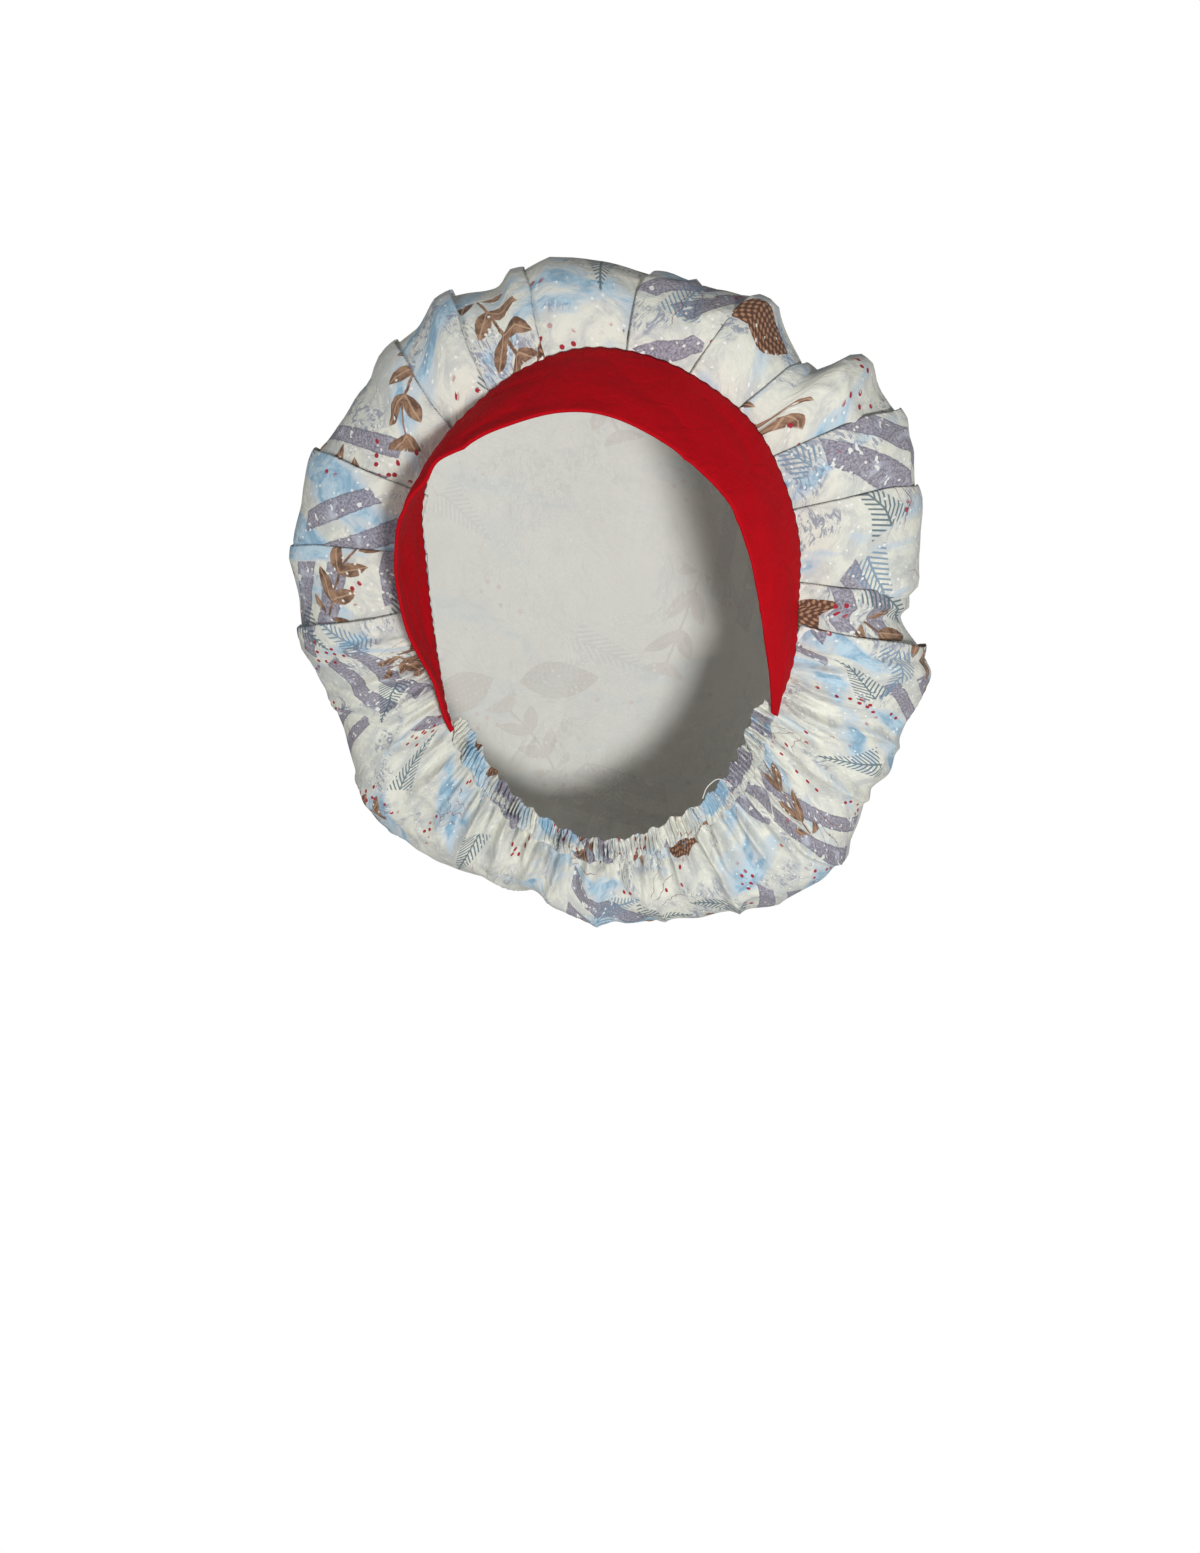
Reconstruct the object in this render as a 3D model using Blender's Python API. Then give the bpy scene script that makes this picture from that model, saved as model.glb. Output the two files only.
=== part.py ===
"""Scrub cap: a bouffant crown of printed cotton, knife-pleated into a crescent headband
and gathered at the nape into a shirred elastic casing.

The cap is modelled as it sits on a head that stands upright: +Z up, the forehead
towards -Y. Its opening slopes from the forehead down to the nape, so the shapes are
worked out in the cap's own axes, in millimetres:

    u  across the head,
    v  in the plane of the opening, from the nape towards the forehead,
    n  square to the opening, into the crown.

A point of the cloth is given by its angle round the opening (0 at +u, 90 at the
forehead), its radius from the middle of the opening, and its n. The origin is the
middle of the opening, in the plane of the seam that joins the crown to the band.
"""

import math

import bmesh
import bpy
import numpy as np

MM = 0.001

# Driving sizes, in millimetres and degrees
OPENING_SLOPE = 50.0
CLOTH = 1.6
BAND_THICKNESS = 2.2
SEAM_GAP = 0.3

# Crown: the rim is where it is widest, and the back is the dome behind the rim
RIM_DEPTH = 34.0
BACK_DEPTH = 86.0
BACK_SQUARENESS = 2.35
BACK_SHIFT = -12.0
FRONT_BULGE = 6.0
FOLD_STEP = 2.6
FOLD_FADE = 0.55
COLUMNS_PER_PLEAT = 4

# The crown's wall is in sectors, parted from the seam to the top of the back along
# three of the folds and between gathers. Columns: name, angle where the sector starts.
CROWN_SECTORS = [
    ("crown_nape_right", -96.0),
    ("crown_side_right", -50.0),
    ("crown_front_right", -4.7),
    ("crown_front_left", 73.5),
    ("crown_side_left", 167.5),
    ("crown_nape_left", 214.0),
]
PARTING_GAP = 0.3

# Nape gathers of the crown
GATHER_COUNT = 17
GATHER_HEIGHT = 2.2
GATHER_SWELL = 0.25
COLUMNS_PER_GATHER = 4

# Headband
BAND_COLUMNS = 52
BAND_BULGE = 1.6
BAND_END_GAP = 0.2

# Casing at the nape, a flat tube drawn up on its elastic
CASING_WIDTH = 12.6
CASING_THICKNESS = 5.2
RUFFLE_COUNT = 25
RUFFLE_WAVE = 1.3
RUFFLE_SWELL = 0.3
RUFFLE_RISE = 0.28
RUFFLE_SHIFT = 0.45
CASING_INSET = 0.4
CASING_SQUARENESS = 0.8
COLUMNS_PER_RUFFLE = 4
CASING_SIDES = 8

# Plan of the cap, section by section round the opening.
# Columns: angle round the opening, radius of the seam, radius of the rim.
SECTIONS = [
    (-95.0, 134.5, 176.0),
    (-78.0, 128.5, 187.0),
    (-63.0, 121.0, 190.0),
    (-50.0, 111.0, 180.0),
    (-37.0, 101.5, 172.0),
    (-20.0, 97.0, 163.0),
    (-5.0, 94.5, 155.0),
    (15.0, 99.0, 157.0),
    (30.0, 103.5, 163.0),
    (44.0, 109.0, 158.0),
    (58.0, 112.0, 153.0),
    (74.0, 115.5, 150.5),
    (90.0, 116.5, 155.0),
    (103.0, 113.0, 157.0),
    (118.0, 108.0, 157.5),
    (131.0, 105.0, 156.0),
    (146.0, 98.0, 157.0),
    (161.0, 88.5, 160.0),
    (180.0, 84.5, 162.0),
    (199.0, 89.0, 162.5),
    (217.0, 101.0, 177.0),
    (232.0, 113.0, 177.5),
    (248.0, 125.5, 170.0),
]

# Knife pleats. The panel over the forehead lies on top, and each pleat away from it
# comes out from under the one before, so its free fold faces the nape.
# Columns: angle of the free fold at the seam, the same at the rim, its height.
PLEATS_RIGHT = [
    (73.5, 75.5, 3.6),
    (58.3, 57.0, 3.8),
    (44.3, 43.0, 4.2),
    (30.2, 26.5, 3.6),
    (15.6, 13.5, 3.2),
    (-4.7, -6.0, 3.4),
    (-16.7, -15.0, 2.8),
]
PLEATS_LEFT = [
    (102.9, 100.5, 3.8),
    (118.4, 113.5, 3.6),
    (131.5, 126.5, 3.4),
    (150.3, 151.0, 3.4),
    (167.5, 169.0, 3.2),
    (185.5, 184.0, 3.0),
]

# Dents of the rim, where a fold runs over it.
# Columns: angle at the rim, depth of the dent, half its width in degrees.
RIM_DENTS = [
    (-40.5, 4.0, 5.0),
    (-8.0, 8.5, 6.0),
    (47.5, 9.0, 5.0),
    (75.0, 2.5, 4.5),
    (106.0, 3.0, 4.0),
    (122.0, 2.5, 4.0),
    (193.0, 3.5, 5.0),
    (250.5, 6.0, 5.5),
]

# Rows of the crown from the seam to the rim and from the rim to the top of the back.
# FRONT_ROWS are degrees of a quarter turn, BACK_ROWS too.
FRONT_ROWS = [0.0, 9.0, 24.0, 44.0, 66.0]
BACK_ROWS = [0.0, 12.0, 25.0, 38.0, 51.0, 63.0, 74.0, 83.0]

# Free edge of the headband.
# Columns: angle, radius of the free edge, how far it stands out of the seam's plane.
BAND_EDGE = [
    (-37.0, 99.5, 5.5),
    (-27.0, 89.5, 11.0),
    (-13.0, 81.0, 20.0),
    (1.0, 78.6, 26.5),
    (16.0, 78.4, 32.0),
    (34.5, 82.0, 35.0),
    (50.0, 83.0, 36.0),
    (67.5, 86.5, 36.5),
    (85.0, 92.0, 36.5),
    (110.0, 95.0, 36.5),
    (130.0, 99.0, 35.5),
    (146.0, 99.5, 34.0),
    (161.0, 94.5, 31.5),
    (182.0, 88.5, 24.5),
    (202.0, 89.5, 13.0),
    (217.0, 99.0, 5.5),
]

# Colours and roughness of the cloths
CLOTHS = {
    "crown": ((0.72, 0.75, 0.76, 1.0), 0.85),
    "headband": ((0.38, 0.012, 0.02, 1.0), 0.78),
    "nape_casing": ((0.66, 0.69, 0.72, 1.0), 0.85),
}


def clear_scene():
    """Removes every object, so that the script starts from nothing."""
    for item in list(bpy.data.objects):
        bpy.data.objects.remove(item, do_unlink=True)


def cap_to_world(points):
    """Turns cap points (u, v, n) in millimetres into world points in metres:
    v leans back from the vertical and n leans up, by the slope of the opening."""
    slope = math.radians(OPENING_SLOPE)
    u, v, n = points[..., 0], points[..., 1], points[..., 2]
    return MM * np.stack([
        u,
        -v * math.cos(slope) + n * math.sin(slope),
        v * math.sin(slope) + n * math.cos(slope),
    ], axis=-1)


def polar(angle, radius, n):
    """The cap point at an angle in degrees and a radius, at depth n."""
    turn = np.radians(angle)
    return np.stack([radius * np.cos(turn), radius * np.sin(turn), n + 0.0 * radius], axis=-1)


def through_rows(knots, values, at, period=None):
    """A smooth curve through table rows: on each stretch a cubic whose end slopes
    are the slopes between the rows on either side. A period closes the curve."""
    knots = np.asarray(knots, float)
    values = np.asarray(values, float)
    at = np.asarray(at, float)
    if period:
        at = knots[0] + np.mod(at - knots[0], period)
        knots = np.concatenate([knots[-2:] - period, knots, knots[:2] + period])
        values = np.concatenate([values[-2:], values, values[:2]])
    slopes = np.gradient(values, knots)
    here = np.clip(np.searchsorted(knots, at, side="right") - 1, 0, len(knots) - 2)
    span = knots[here + 1] - knots[here]
    t = np.clip((at - knots[here]) / span, 0.0, 1.0)
    start = values[here] * (1 + 2 * t) * (1 - t) ** 2 + slopes[here] * span * t * (1 - t) ** 2
    end = values[here + 1] * t ** 2 * (3 - 2 * t) - slopes[here + 1] * span * t ** 2 * (1 - t)
    return start + end


def seam_radius(angle):
    """Radius of the seam between the crown and the band or casing."""
    table = np.array(SECTIONS)
    return through_rows(table[:, 0], table[:, 1], angle, period=360.0)


def rim_radius(angle):
    """Radius of the crown's widest line, without its dents."""
    table = np.array(SECTIONS)
    return through_rows(table[:, 0], table[:, 2], angle, period=360.0)


def rim_dent(angle):
    """How far the dents draw the rim in at an angle: a bell curve for each."""
    total = np.zeros_like(angle)
    for middle, depth, half_width in RIM_DENTS:
        away = np.mod(angle - middle + 180.0, 360.0) - 180.0
        total += depth * np.exp(-(away / half_width) ** 2)
    return total


def crown_columns():
    """The columns of the crown's grid, each an angle at the seam, an angle at the rim
    and a height. A pleat starts low, beside the fold that covers it, and rises to its
    own fold; a step of cloth then drops to the next pleat. The nape has plain waves."""
    columns = []

    def add(seam_angles, rim_angles, heights):
        columns.extend(zip(seam_angles, rim_angles, heights))

    step_deg = math.degrees(FOLD_STEP / seam_radius(90.0))
    share = np.linspace(0.0, 1.0, COLUMNS_PER_PLEAT)

    # Nape gathers, from the last pleat on the left round to the last on the right
    start = PLEATS_LEFT[-1]
    end = PLEATS_RIGHT[-1]
    count = GATHER_COUNT * COLUMNS_PER_GATHER
    along = (np.arange(count) + 0.5) / count
    seam = start[0] - 360.0 + step_deg + (end[0] - step_deg - start[0] + 360.0 - step_deg) * along
    rim = start[1] - 360.0 + (end[1] - start[1] + 360.0) * along
    wave = 0.5 - 0.5 * np.cos(2 * math.pi * GATHER_COUNT * along)
    uneven = np.sin(9.0 * along + 1.0) * np.sin(23.0 * along)
    swell = 1.0 - GATHER_SWELL * (1.0 - uneven)
    add(seam, rim, GATHER_HEIGHT * wave * swell)

    # Right side, upwards: each pleat is highest at its lower end
    for lower, upper in zip(PLEATS_RIGHT[::-1], PLEATS_RIGHT[-2::-1]):
        seam = lower[0] + (upper[0] - step_deg - lower[0]) * share
        rim = lower[1] + (upper[1] - step_deg - lower[1]) * share
        add(seam, rim, lower[2] * (1.0 - share))

    # The panel over the forehead has a free fold on both sides
    left, right = PLEATS_LEFT[0], PLEATS_RIGHT[0]
    share_wide = np.linspace(0.0, 1.0, COLUMNS_PER_PLEAT + 2)
    seam = right[0] + (left[0] - right[0]) * share_wide
    rim = right[1] + (left[1] - right[1]) * share_wide
    add(seam, rim, right[2] + (left[2] - right[2]) * share_wide)

    # Left side, downwards: each pleat is highest at its far end
    for upper, lower in zip(PLEATS_LEFT, PLEATS_LEFT[1:]):
        seam = upper[0] + step_deg + (lower[0] - upper[0] - step_deg) * share
        rim = upper[1] + step_deg + (lower[1] - upper[1] - step_deg) * share
        add(seam, rim, lower[2] * share)
    return np.array(columns)


def crown_surface(offset):
    """The crown's surface, moved along its normal by an offset. From the seam to the
    rim the radius grows with the sine of a quarter turn and n with one less its
    cosine, with a bulge towards the face. Behind the rim it is a squared ellipse
    that closes at the top. The pleats' height fades towards the rim and is gone
    at the back, and so are the dents. Returns points[row, column]."""
    seam_angle, rim_angle, height = crown_columns().T
    seam = seam_radius(seam_angle)
    dent = rim_dent(rim_angle)
    rim = rim_radius(rim_angle) - dent

    rows = []
    for degrees in FRONT_ROWS:
        turn = math.radians(degrees)
        share = math.sin(turn)
        angle = seam_angle + (rim_angle - seam_angle) * share
        n = RIM_DEPTH * (1.0 - math.cos(turn)) - FRONT_BULGE * math.sin(2.0 * turn)
        fade = 0.0 if degrees == 0.0 else 1.0 - (1.0 - FOLD_FADE) * share
        rows.append((angle, seam + (rim - seam) * share, n, fade))
    for degrees in BACK_ROWS:
        turn = math.radians(degrees)
        reach = math.cos(turn) ** (2.0 / BACK_SQUARENESS)
        n = RIM_DEPTH + BACK_DEPTH * math.sin(turn) ** (2.0 / BACK_SQUARENESS)
        remains = max(0.0, 1.0 - turn) ** 2
        radius = (rim + dent * (1.0 - remains)) * reach
        rows.append((rim_angle, radius, n, FOLD_FADE * remains))

    base = np.array([polar(angle, radius, n) for angle, radius, n, _ in rows])
    back_share = np.clip((base[..., 2] - RIM_DEPTH) / BACK_DEPTH, 0.0, 1.0)
    base[..., 1] += BACK_SHIFT * back_share
    down = np.gradient(base, axis=0)
    across = np.roll(base, -1, axis=1) - np.roll(base, 1, axis=1)
    normal = np.cross(down, across)
    normal /= np.linalg.norm(normal, axis=-1, keepdims=True)
    normal[0] = (0.0, 0.0, -1.0)

    fades = np.array([fade for _, _, _, fade in rows])
    lift = fades[:, None] * height[None, :] + offset
    surface = base + normal * lift[..., None]

    # The edge that is sewn in: a flat ring that runs in behind the band's end
    tuck = polar(seam_angle, seam - BAND_THICKNESS, 0.0) + normal[0] * offset
    return np.concatenate([tuck[None], surface])


def grid_faces(rows, columns, first=0, closed=True):
    """Quads over a grid of points, numbered row by row, wound down each column."""
    faces = []
    for row in range(rows - 1):
        for column in range(columns if closed else columns - 1):
            beside = (column + 1) % columns
            a = first + row * columns + column
            b = first + row * columns + beside
            faces.append((a, a + columns, b + columns, b))
    return faces


def make_object(name, cloth, points, faces):
    """Makes a mesh object with outward faces, its own cloth material and smooth
    shading, from cap points."""
    mesh = bpy.data.meshes.new(name)
    mesh.from_pydata(cap_to_world(np.asarray(points)).tolist(), [], faces)
    work = bmesh.new()
    work.from_mesh(mesh)
    bmesh.ops.triangulate(work, faces=work.faces[:])
    bmesh.ops.recalc_face_normals(work, faces=work.faces[:])
    work.to_mesh(mesh)
    work.free()
    mesh.shade_smooth()
    mesh.set_sharp_from_angle(angle=math.radians(50.0))

    colour, roughness = CLOTHS[cloth]
    material = bpy.data.materials.new(name + "_cloth")
    material.use_nodes = True
    shader = material.node_tree.nodes["Principled BSDF"]
    shader.inputs["Base Color"].default_value = colour
    shader.inputs["Roughness"].default_value = roughness
    shader.inputs["Metallic"].default_value = 0.0
    mesh.materials.append(material)

    item = bpy.data.objects.new(name, mesh)
    bpy.context.scene.collection.objects.link(item)


def crown_sector(outer, inner, rim_angle, picked):
    """Points and faces of the crown's wall over the picked columns: an outer and an
    inner surface, each closed at the top of the back by a fan, and the cut edges
    between them. Both side edges keep half the parting gap from the next sector,
    measured square to the parting's own angle."""
    half = PARTING_GAP / 2.0
    ends = np.radians(rim_angle[[picked[0], picked[-1]]])
    square = np.stack([-np.sin(ends), np.cos(ends)], axis=-1)
    corner = np.linalg.solve(square, (half, -half))

    sheets = []
    for sheet, top_n in ((outer, 0.0), (inner, -CLOTH)):
        sheet = sheet[:, picked].copy()
        sheet[:, 0, :2] += half * square[0]
        sheet[:, -1, :2] -= half * square[1]
        top = np.array([corner[0], BACK_SHIFT + corner[1], RIM_DEPTH + BACK_DEPTH + top_n])
        sheets.append(np.concatenate([sheet.reshape(-1, 3), top[None]]))

    rows, columns = outer.shape[0], len(picked)
    inside = len(sheets[0])
    last = (rows - 1) * columns
    top = rows * columns
    faces = grid_faces(rows, columns, closed=False)
    faces += grid_faces(rows, columns, first=inside, closed=False)
    for k in range(columns - 1):
        faces.append((last + k, top, last + k + 1))
        faces.append((inside + last + k, inside + top, inside + last + k + 1))
        faces.append((k, k + 1, inside + k + 1, inside + k))
    for side in (0, columns - 1):
        edge = [row * columns + side for row in range(rows)] + [top]
        faces += [(a, b, inside + b, inside + a) for a, b in zip(edge, edge[1:])]
    return np.concatenate(sheets), faces


def build_crown():
    """The crown is a wall of cloth, open at the seam. Each sector runs from the column
    nearest to its own angle to the one nearest to the next sector's."""
    lift = -SEAM_GAP / 2.0
    outer = crown_surface(lift)
    inner = crown_surface(lift - CLOTH)
    seam_angle, rim_angle, _ = crown_columns().T
    columns = len(seam_angle)

    away = [np.mod(seam_angle - angle + 180.0, 360.0) - 180.0 for _, angle in CROWN_SECTORS]
    starts = [int(np.argmin(np.abs(gap))) for gap in away]
    for (name, _), start, end in zip(CROWN_SECTORS, starts, starts[1:] + starts[:1]):
        picked = (start + np.arange((end - start) % columns + 1)) % columns
        make_object(name, "crown", *crown_sector(outer, inner, rim_angle, picked))


def tube_with_ends(sections):
    """Points and faces of a closed body that runs through loops of equal size,
    sections[k, side], with a flat face over each end."""
    count, sides = sections.shape[:2]
    faces = grid_faces(count, sides)
    faces.append(tuple(range(sides)))
    faces.append(tuple(reversed(range((count - 1) * sides, count * sides))))
    return sections.reshape(-1, 3), faces


def build_headband():
    """The band is a wall of doubled cloth. Each cross-section runs from the seam up
    the outside, round the folded free edge and back down the inside; the outside
    bows a little between seam and fold."""
    table = np.array(BAND_EDGE)
    angle = np.linspace(table[0, 0] + BAND_END_GAP, table[-1, 0] - BAND_END_GAP, BAND_COLUMNS)
    edge_radius = through_rows(table[:, 0], table[:, 1], angle)
    edge_out = through_rows(table[:, 0], table[:, 2], angle)
    seam = seam_radius(angle)
    base_n = -SEAM_GAP / 2.0

    run = edge_radius - seam
    length = np.hypot(run, edge_out)
    along = np.stack([run / length, -edge_out / length])
    inward = np.stack([along[1], -along[0]])

    def at(share, depth):
        """A point of the section: a share of the way from seam to edge, then inward."""
        bow = BAND_BULGE * math.sin(math.pi * min(share, 1.0))
        radius = seam + run * share + inward[0] * (depth - bow)
        n = base_n - edge_out * share + inward[1] * (depth - bow)
        return polar(angle, radius, np.minimum(n, base_n))

    shares = [0.0, 0.3, 0.62, 0.93]
    sections = [at(share, 0.0) for share in shares]
    sections += [at(0.985, BAND_THICKNESS * 0.2), at(1.0, BAND_THICKNESS * 0.5)]
    sections += [at(0.985, BAND_THICKNESS * 0.8)]
    sections += [at(share, BAND_THICKNESS) for share in reversed(shares)]
    make_object("headband", "headband", *tube_with_ends(np.stack(sections, axis=1)))


def build_nape_casing():
    """The casing is a flat tube along the nape. Its width and thickness swell and
    shrink with the ruffles, and its two edges wave against each other."""
    table = np.array(BAND_EDGE)
    start = table[-1, 0] - 360.0 + BAND_END_GAP
    end = table[0, 0] - BAND_END_GAP
    count = RUFFLE_COUNT * COLUMNS_PER_RUFFLE
    angle = np.linspace(start, end, count + 1)
    phase = np.linspace(0.0, 2.0 * math.pi * RUFFLE_COUNT, count + 1)
    swell = 1.0 - RUFFLE_SWELL * (1.0 - np.sin(phase * 0.21 + 0.6))
    wave = RUFFLE_WAVE * swell * np.cos(phase)

    half_width = CASING_WIDTH / 2.0
    half_thick = CASING_THICKNESS / 2.0
    middle = seam_radius(angle) - half_width - CASING_INSET
    shift = RUFFLE_SHIFT * wave
    sections = []
    for side in range(CASING_SIDES):
        turn = 2.0 * math.pi * (side + 0.5) / CASING_SIDES
        across = math.copysign(abs(math.cos(turn)) ** CASING_SQUARENESS, math.cos(turn))
        through = math.copysign(abs(math.sin(turn)) ** CASING_SQUARENESS, math.sin(turn))
        radius = middle + across * (half_width + 0.5 * wave - 0.6) + shift * (1.0 - across)
        rise = half_thick * (1.0 + RUFFLE_RISE * np.cos(phase + 0.8) * (through > 0.0))
        n = -SEAM_GAP / 2.0 - half_thick - through * rise
        sections.append(polar(angle, radius, n))
    make_object("nape_casing", "nape_casing", *tube_with_ends(np.stack(sections, axis=1)))


clear_scene()
build_crown()
build_headband()
build_nape_casing()
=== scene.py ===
import math

import bpy
import numpy as np
from mathutils import Matrix, Vector


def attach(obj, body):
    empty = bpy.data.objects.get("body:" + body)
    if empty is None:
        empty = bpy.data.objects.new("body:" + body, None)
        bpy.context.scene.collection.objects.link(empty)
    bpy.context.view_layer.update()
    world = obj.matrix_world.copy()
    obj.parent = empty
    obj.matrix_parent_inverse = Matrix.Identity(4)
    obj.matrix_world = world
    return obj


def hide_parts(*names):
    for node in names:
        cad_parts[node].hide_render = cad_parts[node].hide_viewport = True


# The cap's own axes, in millimetres: u across the head, v in the plane of the opening
# from the nape to the forehead, n square to the opening, into the crown. A place is given
# by its angle round the opening (0 at +u, 90 at the forehead), its radius and its n.
MM = 0.001
OPENING_SLOPE = math.radians(50.0)
FULL_TURN = 360.0
FULL_CIRCLE = 2.0 * math.pi
QUARTER_CIRCLE = 0.5 * math.pi

# Crown
RIM_DEPTH = 34.0
BACK_DEPTH = 86.0
BACK_SQUARENESS = 2.35
BACK_SHIFT = -12.0
FRONT_BULGE = 6.0
SEAM_TUCK = 2.0
CROWN_CLOTH = 0.55
FRONT_ROW_COUNT = 40
FRONT_ROW_SPREAD = 1.15
BACK_ROW_COUNT = 22
PLEAT_COLUMNS = 14
NAPE_COLUMNS = 450
PLEAT_UNDERLAY = 11.0
PLEAT_OPENING = 9.0
CENTRE_OFFSET = 4.0
CORNER_ROUNDING = 1.0
BACK_ROUNDING = 14.0
ROUNDING_STEPS = 9

# Gathers of the crown at the nape: how many, and how high in millimetres
FINE_GATHERS, FINE_HEIGHT = 50.0, 7.5
MIDDLE_GATHERS, MIDDLE_HEIGHT = 21.0, 8.5

# Power of the sine that shapes a puff, and the puff's mean height
PUFF_SHARPNESS = 0.9
PUFF_MEAN = 0.66

# Long soft folds from the nape's gathers to the rim: how many noise cells they take
# along the nape, how far the cloth swells between them and how deep their creases are
LONG_FOLD_CELLS = 15.0
LONG_FOLD_SWELL = 4.2
LONG_FOLD_DEPTH = 6.5

# The seam round the opening. Columns: angle, radius.
SEAM = np.array([
    (-95.0, 134.5), (-78.0, 128.5), (-63.0, 121.0), (-50.0, 111.0), (-37.0, 101.5),
    (-20.0, 97.0), (-5.0, 94.5), (15.0, 99.0), (30.0, 103.5), (44.0, 109.0), (58.0, 112.0),
    (74.0, 115.5), (90.0, 116.5), (103.0, 113.0), (118.0, 108.0), (131.0, 105.0),
    (146.0, 98.0), (161.0, 88.5), (180.0, 84.5), (199.0, 89.0), (217.0, 101.0),
    (232.0, 113.0), (248.0, 125.5),
])

# Corners of the crown's widest line; the cloth runs straight from one to the next.
# Columns: angle, radius.
RIM_CORNERS = np.array([
    (-107.5, 162.5), (-104.0, 171.5), (-97.0, 174.5), (-92.5, 171.0), (-87.0, 176.5),
    (-78.5, 183.5), (-70.5, 186.0), (-66.0, 191.5), (-57.0, 190.5), (-51.5, 186.0),
    (-41.0, 170.0), (-36.5, 174.0), (-28.0, 165.5), (-16.5, 166.0), (-10.5, 150.5),
    (-7.5, 147.0), (-3.0, 158.0), (12.5, 158.5), (20.5, 165.5), (25.5, 165.5),
    (31.5, 163.0), (36.5, 167.5), (40.3, 165.0), (42.3, 145.5), (57.5, 157.5),
    (67.5, 151.0), (84.5, 155.5), (94.5, 160.5), (101.0, 156.5), (103.5, 151.5),
    (114.0, 160.5), (120.0, 154.5), (129.0, 157.0), (133.0, 152.5), (150.0, 161.5),
    (166.0, 162.0), (178.5, 160.0), (184.5, 162.0), (195.0, 152.5), (202.0, 158.5),
    (216.0, 175.0), (221.0, 179.0), (233.0, 174.5), (238.5, 169.5),
])

# Free folds of the knife pleats, from the nape up the right side, over the forehead and
# down the left side. The panel between the two middle rows lies on top of them all.
# Columns: angle at the seam, angle at the rim, height at the seam, height at the rim,
# and the side towards which the fold faces (-1 the way angles fall, 1 the way they grow).
FOLDS = [
    (-16.7, -15.0, 2.4, 2.6, -1),
    (-4.7, -6.0, 2.8, 5.0, -1),
    (15.6, 13.5, 2.6, 2.4, -1),
    (30.2, 26.5, 2.8, 3.0, -1),
    (44.3, 43.0, 3.0, 6.0, -1),
    (58.3, 57.0, 2.8, 5.0, -1),
    (73.5, 75.5, 2.8, 3.2, -1),
    (102.9, 100.5, 2.8, 4.0, 1),
    (118.4, 113.5, 2.8, 3.6, 1),
    (131.5, 126.5, 2.6, 3.2, 1),
    (150.3, 151.0, 2.6, 3.2, 1),
    (167.5, 169.0, 2.6, 2.6, 1),
    (185.5, 184.0, 2.6, 3.0, 1),
]

# Section through a fold, seen along it. It runs from the end of the covered pleat, in
# under the covering one and back out to its free fold.
# Columns: how far in, as a share of the underlay, and height as a share of the fold's.
FOLD_SECTION = np.array([
    (0.25, 0.01),
    (0.62, 0.03),
    (0.90, 0.09),
    (1.00, 0.20),
    (0.92, 0.32),
    (0.62, 0.42),
    (0.28, 0.50),
    (0.04, 0.60),
    (-0.06, 0.74),
    (-0.05, 0.90),
])
# Rows of the section before its innermost place, the fold's root
FOLD_ROOT = 4

# Headband. Columns: angle, radius of the free edge, how far it stands out of the seam's plane.
BAND_EDGE = np.array([
    (-37.0, 99.5, 5.5),
    (-27.0, 89.5, 11.0),
    (-13.0, 81.0, 20.0),
    (1.0, 78.6, 26.5),
    (16.0, 78.4, 32.0),
    (34.5, 82.0, 35.0),
    (50.0, 83.0, 36.0),
    (67.5, 86.5, 36.5),
    (85.0, 92.0, 36.5),
    (110.0, 95.0, 36.5),
    (130.0, 99.0, 35.5),
    (146.0, 99.5, 34.0),
    (161.0, 94.5, 31.5),
    (182.0, 88.5, 24.5),
    (202.0, 89.5, 13.0),
    (217.0, 99.0, 5.5),
])
# The free edge bends in and out once, at this angle, over this reach to either side
EDGE_KINK_ANGLE, EDGE_KINK_REACH, EDGE_KINK = 133.0, 5.0, 3.2
BAND_THICKNESS = 1.9
BAND_BULGE = 1.6
BAND_LENGTH_STEPS = 420
BAND_WIDTH_STEPS = 22
BAND_FOLD_STEPS = 6
BAND_MEASURED_ROW = 200
BAND_SCALE_WIDTH = 40.0

# Casing at the nape
CASING_WIDTH = 12.6
CASING_THICKNESS = 4.6
CASING_LENGTH_STEPS = 1100
CASING_SIDES = 30
RUFFLE_COUNT = 86
CASING_FLAT_START, CASING_FLAT_LENGTH = 300.0, 700.0
CASING_MEASURED_ROW = 300
CASING_OVERLAP = 2.0

# A loose thread at the inner edge of the casing, with its middle line and its radius.
# Columns: angle, radius, n.
LOOSE_THREAD = np.array([
    (-59.6, 108.5, -2.5),
    (-60.8, 104.6, -4.5),
    (-62.9, 104.4, -5.5),
    (-65.0, 106.0, -5.2),
    (-67.2, 110.2, -3.0),
])
THREAD_RADIUS = 0.24
THREAD_STEPS = 48
THREAD_SIDES = 6

# Camera, from the photograph
IMAGE_WIDTH = 1200.0
IMAGE_HEIGHT = 1553.0
FOCAL_PIXELS = 1365.0
CAMERA_DISTANCE = 0.66
CAMERA_AZIMUTH = math.radians(8.0)
CAMERA_ELEVATION = math.radians(-28.0)
OPENING_MIDDLE_PIXEL = (600.0, 602.0)

# Stage. The floor ends below the view of the photograph's camera.
FLOOR_REACH = 3.0
FLOOR_HEIGHT = -1.6
FLOOR_GLOW = 0.15
WORLD_LIGHT = 0.25
WORLD_SEEN = 1.0


def cap_to_world(points):
    """World metres of cap points (u, v, n): x is u, y is n sin(slope) - v cos(slope)
    and z is v sin(slope) + n cos(slope)."""
    u, v, n = points[..., 0], points[..., 1], points[..., 2]
    y = n * math.sin(OPENING_SLOPE) - v * math.cos(OPENING_SLOPE)
    z = v * math.sin(OPENING_SLOPE) + n * math.cos(OPENING_SLOPE)
    return MM * np.stack([u, y, z], axis=-1)


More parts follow.
